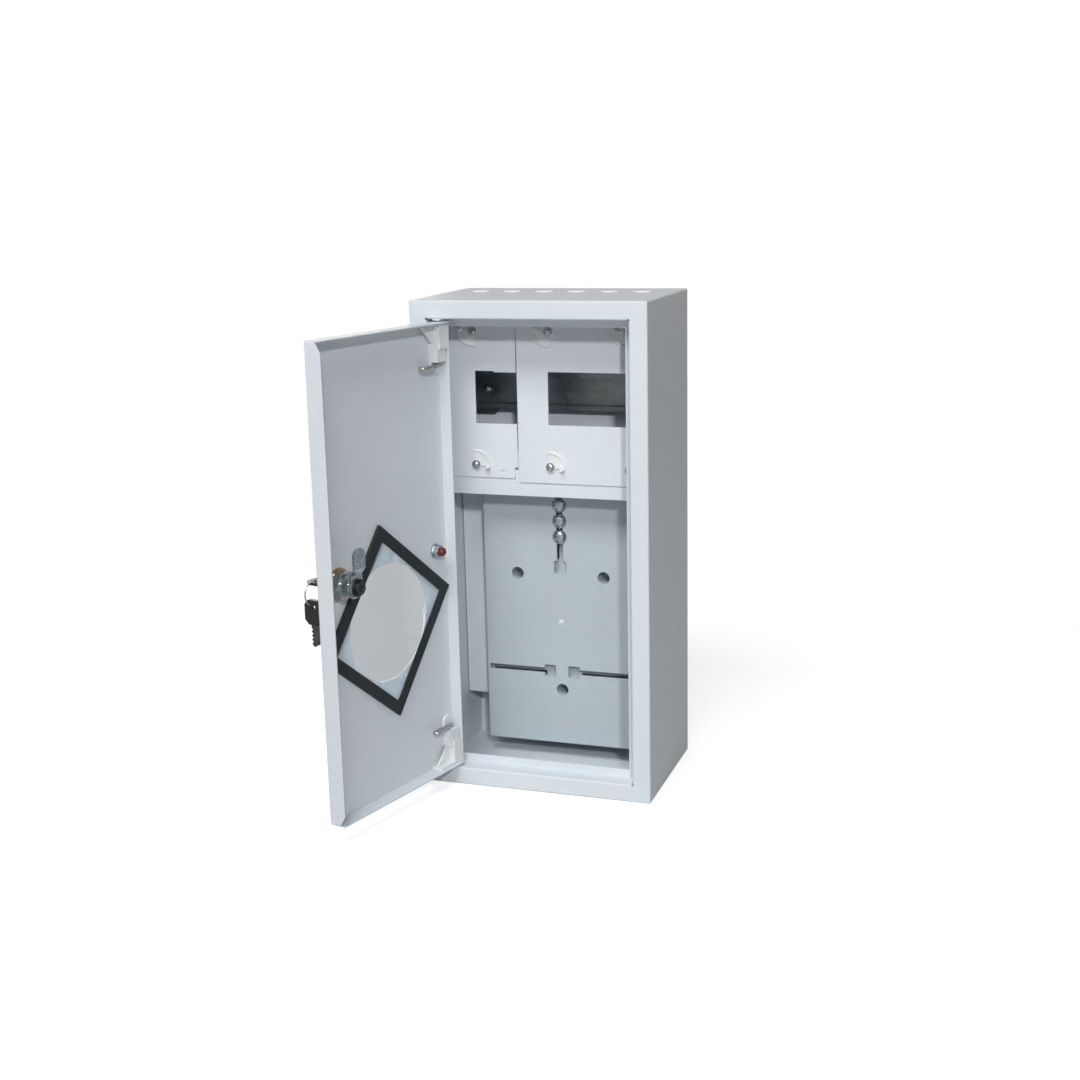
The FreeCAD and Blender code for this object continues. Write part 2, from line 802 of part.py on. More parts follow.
def make_rail_screw(sign):
    x = f"{sign} * rail_screw_x"
    seat = "-rail_web_front"
    shank = rod("y", x, seat, "rail_height", "screw_radius", "rail_web_front - panel_back + rail_screw_tip")
    head = dome("y", x, seat, "rail_height", "screw_head_radius", "screw_head_height")
    notch = box((f"{x} - cross_width / 2", f"{x} + cross_width / 2"),
                (f"{seat} - screw_head_height - overcut", f"{seat} - screw_head_height + cross_depth"),
                ("rail_height - screw_head_radius", "rail_height + screw_head_radius"))
    return cut(fuse(shank, head), notch)


# Meter plate

def plate_posts():
    return [("-post_x", "post_z"), ("post_x", "post_z"), ("0", "lower_post_z")]


def plate_channels(margin):
    """Outlines of the closed channels behind the three slots, where the square nuts slide."""
    wide = f"slot_pocket / 2 + {margin}"
    tall = f"side_pocket / 2 + {margin}"
    start = f"side_pocket_x - side_pocket / 2 - ({margin})"
    end = f"side_slot_end + ({margin}) / 2"
    outlines = [rectangle(f"-({wide})", wide, f"slot_pocket_z - ({wide})", f"slot_top + ({margin}) / 2")]
    for sign in SIGNS:
        outlines.append(rectangle(f"{sign} * ({start})", f"{sign} * ({end})",
                                  f"side_slot_z - ({tall})", f"side_slot_z + {tall}"))
    return outlines


def plate_core_openings():
    """Openings in the channels' floors behind the slots' lips, where the mould forms the undercuts."""
    openings = []
    for side in SIGNS:
        openings.append(rectangle(f"{side} * slot_width / 2", f"{side} * (slot_pocket / 2 + plate_rib_gap)",
                                  "slot_pocket_z + slot_pocket / 2", "slot_top - plate_rib"))
        for edge in SIGNS:
            openings.append(rectangle(f"{side} * (side_pocket_x + side_pocket / 2)",
                                      f"{side} * (side_slot_end - plate_rib)",
                                      f"side_slot_z + {edge} * side_slot_width / 2",
                                      f"side_slot_z + {edge} * (side_pocket / 2 + plate_rib_gap)"))
    return openings


def make_meter_plate():
    """Moulded tray with counterbored posts and three slots that open into closed channels."""
    body = new_body("plate")
    side = "plate_half_width"
    pad(body, "XZ_Plane", "panel_standoff", "plate_front",
        [rectangle(f"-{side}", side, "plate_bottom", "plate_top")])
    front = -number("plate_front")
    round_edges(body, "plate_edge_radius", lambda edge, middle: near(middle.y, front)
                or not near(edge.Vertexes[0].Y, edge.Vertexes[1].Y))
    inside = rectangle(f"-{side} + plate_wall", f"{side} - plate_wall",
                       "plate_bottom + plate_wall", "plate_top - plate_wall")
    pocket(body, "XZ_Plane", "panel_standoff", "plate_inside", [inside])
    posts = [(x, z, "post_radius") for x, z in plate_posts()]
    pad(body, "XZ_Plane", "panel_standoff", "plate_inside + plate_wall / 2", posts)
    pad(body, "XZ_Plane", "channel_floor - plate_rib", "plate_inside + plate_wall / 2",
        plate_channels("plate_rib_gap + plate_rib"))
    pocket(body, "XZ_Plane", "channel_floor", "plate_inside", plate_channels("plate_rib_gap"))
    pocket(body, "XZ_Plane", "channel_floor - plate_rib", "channel_floor", plate_core_openings())
    bores = [(x, z, "counterbore_radius") for x, z in plate_posts()]
    pocket(body, "XZ_Plane", "post_face", "plate_front", bores)
    holes = [(x, z, "post_hole_radius") for x, z in plate_posts()]
    pocket(body, "XZ_Plane", "panel_standoff", "post_face", holes)
    half = "slot_width / 2"
    wide = "slot_pocket / 2"
    key_slot = [
        (f"-({wide})", f"slot_pocket_z - {wide}"),
        (wide, f"slot_pocket_z - {wide}"),
        (wide, f"slot_pocket_z + {wide}"),
        (half, f"slot_pocket_z + {wide}"),
        (half, "slot_top"),
        (f"-({half})", "slot_top"),
        (f"-({half})", f"slot_pocket_z + {wide}"),
        (f"-({wide})", f"slot_pocket_z + {wide}"),
    ]
    openings = [key_slot]
    for sign in SIGNS:
        middle = f"{sign} * side_pocket_x"
        reach = "side_pocket / 2"
        slim = "side_slot_width / 2"
        openings.append([
            (f"{middle} - {sign} * {reach}", f"side_slot_z - {reach}"),
            (f"{middle} + {sign} * {reach}", f"side_slot_z - {reach}"),
            (f"{middle} + {sign} * {reach}", f"side_slot_z - {slim}"),
            (f"{sign} * side_slot_end", f"side_slot_z - {slim}"),
            (f"{sign} * side_slot_end", f"side_slot_z + {slim}"),
            (f"{middle} + {sign} * {reach}", f"side_slot_z + {slim}"),
            (f"{middle} + {sign} * {reach}", f"side_slot_z + {reach}"),
            (f"{middle} - {sign} * {reach}", f"side_slot_z + {reach}"),
        ])
    pocket(body, "XZ_Plane", "plate_inside", "plate_front", openings)
    pad(body, "XZ_Plane", "plate_front - plate_wall / 2", "plate_front + gate_mark_height",
        [("0", "gate_mark_z", "gate_mark_radius")])
    return body


def make_plate_screw(x, z):
    seat = "-post_face"
    shank = rod("y", x, seat, z, "screw_radius", "plate_screw_length")
    head = dome("y", x, seat, z, "plate_screw_head", "screw_head_height")
    notch = box((f"{x} - plate_screw_head", f"{x} + plate_screw_head"),
                (f"{seat} - screw_head_height - overcut", f"{seat} - screw_head_height + cross_depth"),
                (f"{z} - cross_width / 2", f"{z} + cross_width / 2"))
    return cut(fuse(shank, head), notch)


def meter_screw_height(index):
    return f"meter_screw_first + {index} * meter_screw_pitch"


def make_meter_screw(index):
    """Domed slotted screw that clamps a meter to the plate's vertical slot."""
    z = meter_screw_height(index)
    seat = "-plate_front"
    shank = rod("y", "0", seat, z, "meter_shank_radius", "meter_shank_length")
    head = dome("y", "0", seat, z, "meter_head_radius", "meter_head_height")
    reach = "meter_head_radius + overcut"
    half = "meter_slot_width / 2"
    notch = box((f"-({reach})", reach), ("-meter_slot_depth", "meter_slot_depth"), (f"-({half})", half))
    blade = group(notch)
    blade.Placement = FreeCAD.Placement(FreeCAD.Vector(), FreeCAD.Rotation(FreeCAD.Vector(0, -1, 0), 1))
    bind(blade, "Placement.Rotation.Angle", "meter_slot_angle")
    put(blade, "0", f"{seat} - meter_head_height", z)
    return cut(fuse(shank, head), blade)


def make_meter_nut(index):
    z = meter_screw_height(index)
    half = "nut_side / 2"
    back = "-plate_inside + nut_thickness"
    block = box((f"-({half})", half), ("-plate_inside", back), (f"{z} - {half}", f"{z} + {half}"))
    bore = rod("y", "0", "-plate_inside", z, "meter_shank_radius", "nut_thickness")
    return cut(block, bore)


# Door

def make_door_panel():
    """Folded tray: the flange at the free edge is the deepest, the one at the hinge the shallowest."""
    body = new_body("door_panel")
    top = "door_half_height"
    outline = rectangle("door_left", "door_right", f"-({top})", top)
    pad(body, "XZ_Plane", "-(free_back)", "-(door_front)", [outline])
    front = number("door_front")
    round_edges(body, "bend_radius", lambda edge, middle: near(middle.y, front)
                or not near(edge.Vertexes[0].Y, edge.Vertexes[1].Y))
    inside = rectangle("door_left + door_sheet", "door_right - door_sheet", "-tray_top", "tray_top")
    pocket(body, "XZ_Plane", "-(free_back)", "-(door_inner)", [inside])
    low = f"-({top}) - overcut"
    high = f"{top} + overcut"
    pocket(body, "XZ_Plane", "-(free_back)", "-(door_back)", [
        rectangle("door_left - overcut", "door_right - door_sheet", low, high)])
    pocket(body, "XZ_Plane", "-(door_back)", "-(hinge_back)", [
        rectangle("door_left - overcut", "door_left + bend_radius", low, high)])
    pocket(body, "XZ_Plane", "-(door_inner)", "-(door_front)", [
        ("door_middle", "-window_drop", "window_radius"),
        ("lock_x", "0", "barrel_radius + barrel_clearance"),
        ("stud_x", "0", "stud_radius")])
    corner = "door_corner_cut"
    notches = []
    for sign in SIGNS:
        edge = f"{sign} * ({top})"
        notches.append([("free_back", edge),
                        ("free_back", f"{edge} - {sign} * door_corner_rise"),
                        (f"free_back - {corner}", edge)])
    pocket(body, "YZ_Plane", "door_right - door_sheet", "door_right + overcut", notches)
    pin_hole = [("0", "0", "pin_bore")]
    pocket(body, "XY_Plane", "tray_top", top, pin_hole)
    pocket(body, "XY_Plane", f"-({top})", "-(tray_top)", pin_hole)
    return body


def make_pane():
    across = "pane_width / 2"
    tall = "pane_length / 2"
    pane = box((f"-({across})", across), ("0", "pane_thickness"), (f"-({tall})", tall))
    return turn_to_window(group(pane), "door_inner")


def turn_to_window(obj, y):
    """Turn a piece drawn square about the window's centre to the pane's slant."""
    obj.Placement = FreeCAD.Placement(FreeCAD.Vector(), FreeCAD.Rotation(FreeCAD.Vector(0, -1, 0), 1))
    bind(obj, "Placement.Rotation.Angle", "pane_turn")
    return put(obj, "door_middle", y, "-window_drop")


def make_strip(quarter):
    """Sealing strip along one side of the pane: a flat band that also covers the pane's edge."""
    across = "pane_length / 2" if quarter % 2 else "pane_width / 2"
    tall = "pane_width / 2" if quarter % 2 else "pane_length / 2"
    start = f"-({across} + strip_overhang)"
    outer = f"{tall} + strip_overhang"
    inset = "strip_overhang - strip_width"
    band = box((start, f"{across} + {inset}"), ("pane_thickness", "pane_thickness + strip_thickness"),
               (f"{tall} + {inset}", outer))
    skirt = box((start, across), ("0", "pane_thickness"), (tall, outer))
    strip = fuse(band, skirt)
    turned = group(strip)
    turned.Placement = FreeCAD.Placement(
        FreeCAD.Vector(), FreeCAD.Rotation(FreeCAD.Vector(0, 1, 0), 90 * quarter))
    return turned


def make_strips():
    return turn_to_window(group(*[make_strip(quarter) for quarter in range(4)]), "door_inner")


def make_hinge_block(sign):
    """Moulded corner block: cap plate, gusset, stepped boss for the pin and a tongue behind the lever."""
    def heights(low, high):
        pair = (f"{sign} * ({low})", f"{sign} * ({high})")
        return pair if sign > 0 else pair[::-1]
    face = "door_inner"
    side = "tray_side"
    end = f"{side} + boss_width"
    cap = box((side, f"{side} + block_reach"), (face, "boss_back"),
              heights("tray_top - block_wall", "tray_top"))
    head = box((side, end), (face, "boss_back"), heights("tray_top - boss_head_height", "tray_top"))
    left = f"{side} + neck_inset"
    right = f"{end} + neck_overhang"
    neck = box((left, right), (face, "boss_back - neck_step"),
               heights("boss_low", "tray_top - gusset_height"))
    gusset_body = new_body("gusset")
    rib_back = f"-({face}) - gusset_setback - block_wall"
    gusset = [
        (f"{end} - gusset_lap", f"{sign} * (tray_top)"),
        (f"{side} + block_reach", f"{sign} * (tray_top)"),
        (right, f"{sign} * (tray_top - gusset_height)"),
        (f"{end} - gusset_lap", f"{sign} * (tray_top - gusset_height)"),
    ]
    pad(gusset_body, "XZ_Plane", rib_back, f"{rib_back} + block_wall", [gusset])
    tip = f"{sign} * (boss_low - tongue_length)"
    shoulder = f"{sign} * (boss_low - tongue_length + tongue_corner)"
    tongue_body = new_body("tongue")
    tongue = [
        (left, f"{sign} * (boss_low + neck_step)"),
        (right, f"{sign} * (boss_low + neck_step)"),
        (right, shoulder),
        (f"{right} - tongue_corner", tip),
        (f"{left} + tongue_corner", tip),
        (left, shoulder),
    ]
    pad(tongue_body, "XZ_Plane", "-(tongue_back)", f"-({face})", [tongue])
    bore_low = heights("boss_low - overcut", "tray_top + overcut")[0]
    bore = rod("z", "0", "0", bore_low, "pin_bore", "boss_height + 2 * overcut")
    return cut(fuse(cap, head, neck, gusset_body, tongue_body), bore)


def make_hinge_pin(sign):
    """Bent wire: an upright pin, an elbow and a lever that doubles back on itself."""
    radius = number("pin_bend")
    top = number("pin_top")
    elbow = number("pin_elbow")
    lever = number("pin_lever")
    loop = number("pin_loop")
    back = number("pin_return")
    lean = radius * (1 - 0.5 ** 0.5)

    def at(x, y, z):
        return FreeCAD.Vector(x, y, sign * z)
    rise = elbow + radius
    upright = Part.LineSegment(at(0, 0, top), at(0, 0, rise))
    bend = Part.Arc(at(0, 0, rise), at(lean, 0, elbow + lean), at(radius, 0, elbow))
    arm = Part.LineSegment(at(radius, 0, elbow), at(lever, 0, elbow))
    turn = Part.Arc(at(lever, 0, elbow), at(lever + loop, loop, elbow), at(lever, 2 * loop, elbow))
    tail = Part.LineSegment(at(lever, 2 * loop, elbow), at(lever - back, 2 * loop, elbow))
    path = Part.Wire([piece.toShape() for piece in (upright, bend, arm, turn, tail)])
    ring = Part.Circle(at(0, 0, top), FreeCAD.Vector(0, 0, 1), number("pin_radius"))
    wire = path.makePipeShell([Part.Wire(ring.toShape())], True, True)
    pin = doc.addObject("Part::Feature", "pin")
    pin.Shape = wire
    return pin


def make_bush(sign):
    """Flanged bush pressed into the frame's return, where the hinge pin turns."""
    face = "open_half_height"
    start = f"{face} - bush_collar" if sign > 0 else f"-({face})"
    collar = rod("z", "pivot_x", "pivot_y", start, "bush_collar_radius", "bush_collar")
    tube_start = face if sign > 0 else f"-({face}) - bush_length"
    tube = rod("z", "pivot_x", "pivot_y", tube_start, "bush_radius", "bush_length")
    bore_start = f"{face} - bush_collar" if sign > 0 else f"-({face}) - bush_length"
    bore = rod("z", "pivot_x", "pivot_y", bore_start, "pin_bore", "bush_length + bush_collar")
    return cut(fuse(collar, tube), bore)


# Cam lock

def make_lock_barrel():
    head = cone("y", "lock_x", "lock_face", "0", "lock_head_radius - lock_head_bevel",
                "lock_head_radius", "lock_head_height")
    tube = rod("y", "lock_x", "door_front", "0", "barrel_radius", "barrel_end")
    bore = rod("y", "lock_x", "lock_face", "0", "barrel_bore", "lock_head_height + barrel_end")
    return cut(fuse(head, tube), bore)


def make_lock_ring():
    ring = rod("y", "lock_x", "door_inner", "0", "ring_radius", "ring_thickness")
    hole = rod("y", "lock_x", "door_inner", "0", "barrel_radius", "ring_thickness")
    return cut(ring, hole)


def make_lock_nut():
    nut = hexagon("y", "lock_x", "ring_back", "0", "lock_nut_radius", "lock_nut_thickness")
    hole = rod("y", "lock_x", "ring_back", "0", "barrel_radius", "lock_nut_thickness")
    return cut(nut, hole)


def make_lock_plug():
    """Rotor of the lock: keyway in front, square drive and threaded hole behind."""
    plug = rod("y", "lock_x", "lock_face", "0", "plug_radius", "cam_front - (lock_face)")
    half = "cam_square / 2"
    drive = box((f"lock_x - {half}", f"lock_x + {half}"), ("cam_front", "cam_back"), (f"-({half})", half))
    keyway = box(("lock_x - keyway_half_width", "lock_x + keyway_half_width"),
                 ("lock_face", "key_tip + keyway_clearance"),
                 ("-keyway_half_height", "keyway_half_height"))
    thread = rod("y", "lock_x", "cam_back - cam_bolt_length", "0", "cam_bolt_radius", "cam_bolt_length")
    return cut(fuse(plug, drive), keyway, thread)


def make_cam():
    """Joggled lever with rounded ends and a square hole."""
    body = new_body("cam")
    step = "cam_joggle"
    low = "cam_joggle_start"
    high = "cam_joggle_start + cam_joggle_run"
    profile = [
        ("cam_front", "-cam_tail"),
        ("cam_back", "-cam_tail"),
        ("cam_back", low),
        (f"cam_back + {step}", high),
        (f"cam_back + {step}", "cam_reach"),
        (f"cam_front + {step}", "cam_reach"),
        (f"cam_front + {step}", high),
        ("cam_front", low),
    ]
    pad(body, "YZ_Plane", "lock_x - cam_width / 2", "lock_x + cam_width / 2", [profile])
    tip = number("cam_reach")
    tail = -number("cam_tail")
    round_edges(body, "cam_end_radius", lambda edge, middle: (near(middle.z, tip) or near(middle.z, tail))
                and near(edge.Vertexes[0].X, edge.Vertexes[1].X))
    half = "cam_square / 2"
    pocket(body, "XZ_Plane", "-(cam_back)", "-(cam_front)", [
        rectangle(f"lock_x - {half}", f"lock_x + {half}", f"-({half})", half)])
    return body


def make_cam_washer():
    washer = rod("y", "lock_x", "cam_back", "0", "cam_washer_radius", "cam_washer_thickness")
    hole = rod("y", "lock_x", "cam_back", "0", "cam_bolt_radius", "cam_washer_thickness")
    return cut(washer, hole)


def make_cam_bolt():
    shank = rod("y", "lock_x", "cam_back - cam_bolt_length", "0", "cam_bolt_radius",
                "cam_bolt_length + cam_washer_thickness")
    head = rod("y", "lock_x", "cam_washer_back", "0", "cam_bolt_head", "cam_bolt_head_height")
    socket = hexagon("y", "lock_x", "cam_washer_back + cam_bolt_head_height - cam_bolt_socket_depth", "0",
                     "cam_bolt_socket", "cam_bolt_socket_depth + overcut")
    return cut(fuse(shank, head), socket)


# Keys

KEY_CUTS = (0.22, 0.4, 0.58, 0.76)


def key_outline(root, tip, centre, direction):
    """Blade outline from its root to its tip, notched along one edge; direction is the sign of travel."""
    half = "key_blade_width / 2"
    length = "key_blade_length"
    point = "key_point"
    notch = "key_cut_half_width"
    along_axis = [(f"{root} - {direction} * key_tang", f"{centre} - {half} + key_shoulder"),
                  (root, f"{centre} - {half} + key_shoulder"),
                  (root, f"{centre} - {half}")]
    for share in KEY_CUTS:
        middle = f"{root} + {direction} * {length} * {share}"
        along_axis.append((f"{middle} - {direction} * {notch}", f"{centre} - {half}"))
        along_axis.append((middle, f"{centre} - {half} + key_cut"))
        along_axis.append((f"{middle} + {direction} * {notch}", f"{centre} - {half}"))
    along_axis.append((f"{tip} - {direction} * {point}", f"{centre} - {half}"))
    along_axis.append((tip, f"{centre} - {half} + {point}"))
    along_axis.append((f"{tip} - {direction} * {point}", f"{centre} + {half}"))
    along_axis.append((root, f"{centre} + {half}"))
    along_axis.append((root, f"{centre} + {half} - key_shoulder"))
    along_axis.append((f"{root} - {direction} * key_tang", f"{centre} + {half} - key_shoulder"))
    return along_axis


def bevelled(x0, x1, y0, y1, corner):
    """Rectangle with its four corners cut."""
    return [
        (f"{x0} + {corner}", y0), (f"{x1} - {corner}", y0),
        (x1, f"{y0} + {corner}"), (x1, f"{y1} - {corner}"),
        (f"{x1} - {corner}", y1), (f"{x0} + {corner}", y1),
        (x0, f"{y1} - {corner}"), (x0, f"{y0} + {corner}"),
    ]


def make_key_blade():
    body = new_body("key_blade")
    outline = [(y, x) for x, y in key_outline("bow_front", "key_tip", "lock_x", 1)]
    half = "key_blade_thickness / 2"
    pad(body, "XY_Plane", f"-({half})", half, [outline])
    return body


def make_key_head():
    body = new_body("key_head")
    half = "bow_thickness / 2"
    outline = bevelled("lock_x - bow_half_width", "lock_x + bow_half_width",
                       "bow_back", "bow_front", "bow_corner")
    pad(body, "XY_Plane", f"-({half})", half, [outline, ("lock_x", "bow_hole_y", "bow_hole_radius")])
    tang = "key_blade_width / 2 - key_shoulder"
    thin = "key_blade_thickness / 2"
    pocket(body, "XZ_Plane", "-(bow_front)", "-(bow_front) + key_tang", [
        rectangle(f"lock_x - ({tang})", f"lock_x + {tang}", f"-({thin})", thin)])
    return body


def make_key_ring():
    ring = doc.addObject("Part::Torus", "hoop")
    bind(ring, "Radius1", "key_ring_radius")
    bind(ring, "Radius2", "key_wire_radius")
    along(ring, "y", "ring_x", "bow_hole_y", "ring_top - key_ring_radius")
    return group(ring)


def make_spare_blade():
    body = new_body("spare_blade")
    outline = [(y, z) for z, y in key_outline("spare_low", "spare_tip", "bow_hole_y", -1)]
    half = "key_blade_thickness / 2"
    pad(body, "YZ_Plane", f"ring_x - {half}", f"ring_x + {half}", [outline])
    return body


def make_spare_head():
    body = new_body("spare_head")
    half = "spare_head_thickness / 2"
    outline = bevelled("bow_hole_y - spare_head_half_width", "bow_hole_y + spare_head_half_width",
                       "spare_low", "spare_top", "bow_corner")
    pad(body, "YZ_Plane", f"ring_x - {half}", f"ring_x + {half}", [
        outline, ("bow_hole_y", "spare_hole_z", "spare_hole_radius")])
    tang = "key_blade_width / 2 - key_shoulder"
    thin = "key_blade_thickness / 2"
    pocket(body, "XY_Plane", "spare_low", "spare_low + key_tang", [
        rectangle(f"ring_x - {thin}", f"ring_x + {thin}", f"bow_hole_y - ({tang})", f"bow_hole_y + {tang}")])
    return body


# Earth stud

def make_earth_stud():
    return rod("y", "stud_x", "door_front", "0", "stud_radius", "stud_end - (door_front)")


def make_earth_washer():
    washer = rod("y", "stud_x", "door_inner", "0", "washer_radius", "washer_thickness")
    hole = rod("y", "stud_x", "door_inner", "0", "stud_radius", "washer_thickness")
    return cut(washer, hole)


def make_earth_nut():
    nut = hexagon("y", "stud_x", "washer_back", "0", "earth_nut_radius", "earth_nut_thickness")
    hole = rod("y", "stud_x", "washer_back", "0", "stud_radius", "earth_nut_thickness")
    return cut(nut, hole)


def make_earth_cap():
    """Soft domed cap over the free end of the stud."""
    tube = rod("y", "stud_x", "earth_nut_back", "0", "cap_radius", "cap_length")
    crown = dome("y", "stud_x", "earth_nut_back + cap_length", "0", "cap_radius", "cap_crown", 1)
    hollow = rod("y", "stud_x", "earth_nut_back", "0", "stud_radius", "stud_end - (earth_nut_back)")
    return cut(fuse(tube, crown), hollow)


# Assembly

node("cabinet_shell", make_shell())
node("cable_entry_plugs", group(*[make_entry_plug(step) for step in ENTRY_STEPS]))
node("inner_frame", make_inner_frame())
node("cover_left", make_left_cover())
node("cover_right", make_right_cover())
node("cover_screws", group(*[make_cover_screw(x, z) for x, z, turned in COVER_SCREWS]))
node("seal_tabs", group(*[make_seal_tab(*place) for place in COVER_SCREWS]))
node("mounting_panel", make_panel())
node("din_rail", make_rail())
node("rail_bracket_left", make_rail_bracket(-1))
node("rail_bracket_right", make_rail_bracket(1))
node("rail_screws", group(*[make_rail_screw(sign) for sign in SIGNS]))
node("meter_plate", make_meter_plate())
node("meter_plate_screws", group(*[make_plate_screw(x, z) for x, z in plate_posts()]))
node("meter_screws", group(*[make_meter_screw(index) for index in range(3)]))
node("meter_screw_nuts", group(*[make_meter_nut(index) for index in range(3)]))
node("hinge_bush_top", make_bush(1))
node("hinge_bush_bottom", make_bush(-1))

door_node("door_panel", make_door_panel())
door_node("window_pane", group(make_pane()))
door_node("window_seal_strips", group(make_strips()))
door_node("hinge_block_top", make_hinge_block(1))
door_node("hinge_block_bottom", make_hinge_block(-1))
door_node("hinge_pin_top", make_hinge_pin(1))
door_node("hinge_pin_bottom", make_hinge_pin(-1))
door_node("lock_barrel", make_lock_barrel())
door_node("lock_ring", make_lock_ring())
door_node("lock_nut", make_lock_nut())
door_node("lock_plug", make_lock_plug())
door_node("lock_cam", make_cam())
door_node("cam_washer", make_cam_washer())
door_node("cam_bolt", make_cam_bolt())
door_node("key_blade", make_key_blade())
door_node("key_head", make_key_head())
door_node("key_ring", make_key_ring())
door_node("spare_key_blade", make_spare_blade())
door_node("spare_key_head", make_spare_head())
door_node("earth_stud", group(make_earth_stud()))
door_node("earth_washer", make_earth_washer())
door_node("earth_nut", make_earth_nut())
door_node("earth_cap", make_earth_cap())

doc.recompute()

for obj in doc.Objects:
    if "Invalid" in obj.State or "Error" in obj.State:
        raise RuntimeError(f"{obj.Label} failed: {obj.State}")
for obj in NODES:
    if obj.Shape.isNull() or not obj.Shape.isValid() or not obj.Shape.Solids:
        raise RuntimeError(f"{obj.Label} has no valid solid")

os.makedirs("parts", exist_ok=True)
for obj in NODES:
    obj.Shape.exportStep(os.path.join("parts", obj.Label + ".step"))
    print(obj.Label, len(obj.Shape.Solids), "solids", round(obj.Shape.Volume, 1), "mm3")
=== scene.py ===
import json
import math

import bpy
from mathutils import Matrix, Vector


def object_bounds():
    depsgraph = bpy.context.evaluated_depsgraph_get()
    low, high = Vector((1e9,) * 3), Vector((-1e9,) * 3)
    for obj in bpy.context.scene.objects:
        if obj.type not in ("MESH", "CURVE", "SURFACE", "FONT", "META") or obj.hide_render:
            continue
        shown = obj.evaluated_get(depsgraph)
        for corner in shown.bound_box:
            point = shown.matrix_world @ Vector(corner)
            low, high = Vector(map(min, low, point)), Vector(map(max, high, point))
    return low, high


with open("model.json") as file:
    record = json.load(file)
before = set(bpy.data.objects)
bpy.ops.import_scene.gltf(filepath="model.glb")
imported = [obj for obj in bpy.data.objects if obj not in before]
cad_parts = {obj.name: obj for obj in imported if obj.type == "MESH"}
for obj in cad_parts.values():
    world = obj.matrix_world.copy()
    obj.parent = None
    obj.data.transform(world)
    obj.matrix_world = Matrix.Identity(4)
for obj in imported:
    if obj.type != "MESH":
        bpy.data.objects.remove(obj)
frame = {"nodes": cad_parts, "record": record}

cad_box = [list(corner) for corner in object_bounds()]
nodes = frame["nodes"]
scene = bpy.context.scene

FLOOR_Z = cad_box[0][2]

# Radii, in metres, to which each kind of edge looks eased
FOLD_EASE = 0.0009
MOULD_EASE = 0.0005
METAL_EASE = 0.0004
RAIL_EASE = 0.0007


# Node helpers

class Surface:
    """A Principled material whose variation comes from textures in object space."""

    def __init__(self, name, sockets):
        self.material = bpy.data.materials.new(name)
        self.material.use_nodes = True
        self.tree = self.material.node_tree
        self.shader = self.tree.nodes["Principled BSDF"]
        self.place = self.tree.nodes.new("ShaderNodeTexCoord").outputs["Object"]
        for socket, value in sockets.items():
            self.shader.inputs[socket].default_value = value

    def add(self, kind, links=None, values=None, **settings):
        made = self.tree.nodes.new(kind)
        for key, value in settings.items():
            setattr(made, key, value)
        for key, value in (values or {}).items():
            made.inputs[key].default_value = value
        for key, source in (links or {}).items():
            self.tree.links.new(source, made.inputs[key])
        return made

    def stretched(self, scale):
        mapping = self.add("ShaderNodeMapping", {"Vector": self.place}, {"Scale": scale})
        return mapping.outputs["Vector"]

    def noise(self, scale, detail=3.0, stretch=None):
        vector = self.stretched(stretch) if stretch else self.place
        texture = self.add("ShaderNodeTexNoise", {"Vector": vector}, {"Scale": scale, "Detail": detail})
        return texture.outputs["Fac"]

    def cells(self, scale):
        texture = self.add("ShaderNodeTexVoronoi", {"Vector": self.place}, {"Scale": scale})
        return texture.outputs["Color"]

    def spread(self, source, low, high, start=0.3, end=0.7):
        limits = {"From Min": start, "From Max": end, "To Min": low, "To Max": high}
        return self.add("ShaderNodeMapRange", {"Value": source}, limits).outputs["Result"]

    def blend(self, factor, first, second):
        mix = self.add("ShaderNodeMix", data_type="RGBA")
        self.tree.links.new(factor, mix.inputs["Factor"])
        for socket, value in (("A", first), ("B", second)):
            target = [i for i in mix.inputs if i.name == socket and i.type == "RGBA"][0]
            if isinstance(value, bpy.types.NodeSocket):
                self.tree.links.new(value, target)
            else:
                target.default_value = (*value, 1.0)
        return [o for o in mix.outputs if o.type == "RGBA"][0]

    def around(self, point, inner, outer):
        """1 within the inner radius of a point, falling to 0 at the outer one."""
        gap = self.add("ShaderNodeVectorMath", {0: self.place}, {1: point}, operation="DISTANCE")
        return self.spread(gap.outputs["Value"], 1.0, 0.0, inner, outer)

    def eased(self, radius):
        """Normals that soften sharp edges, so that they catch a thin line of light."""
        edge = self.add("ShaderNodeBevel", values={"Radius": radius}, samples=4)
        return edge.outputs["Normal"]

    def use(self, socket, source):
        self.tree.links.new(source, self.shader.inputs[socket])

    def bump(self, source, strength, distance, under=None):
        links = {"Height": source}
        if under:
            links["Normal"] = under
        made = self.add("ShaderNodeBump", links, {"Strength": strength, "Distance": distance})
        return made.outputs["Normal"]


def shade(colour, factor):
    """A lighter or darker tone of a colour."""
    return tuple(min(1.0, channel * factor) for channel in colour)


def powder_coat(name, colour, gloss=0.36):
    """Baked powder coat: faint cloudiness, fine specks and an orange-peel surface."""
    surface = Surface(name, {"IOR": 1.4})
    cloud = surface.noise(14.0, 4.0)
    speck = surface.noise(900.0, 2.0)
    base = surface.blend(surface.spread(cloud, 0.0, 1.0), shade(colour, 0.982), shade(colour, 1.008))
    fine = surface.blend(surface.spread(speck, 0.0, 1.0, 0.55, 0.75), base, shade(colour, 0.9))
    surface.use("Base Color", fine)
    rub = surface.noise(55.0, 5.0)
    surface.use("Roughness", surface.spread(rub, gloss - 0.02, gloss + 0.05))
    peel = surface.bump(surface.noise(420.0, 2.0), 0.10, 0.0004, surface.eased(FOLD_EASE))
    surface.use("Normal", surface.bump(speck, 0.05, 0.0002, peel))
    return surface.material


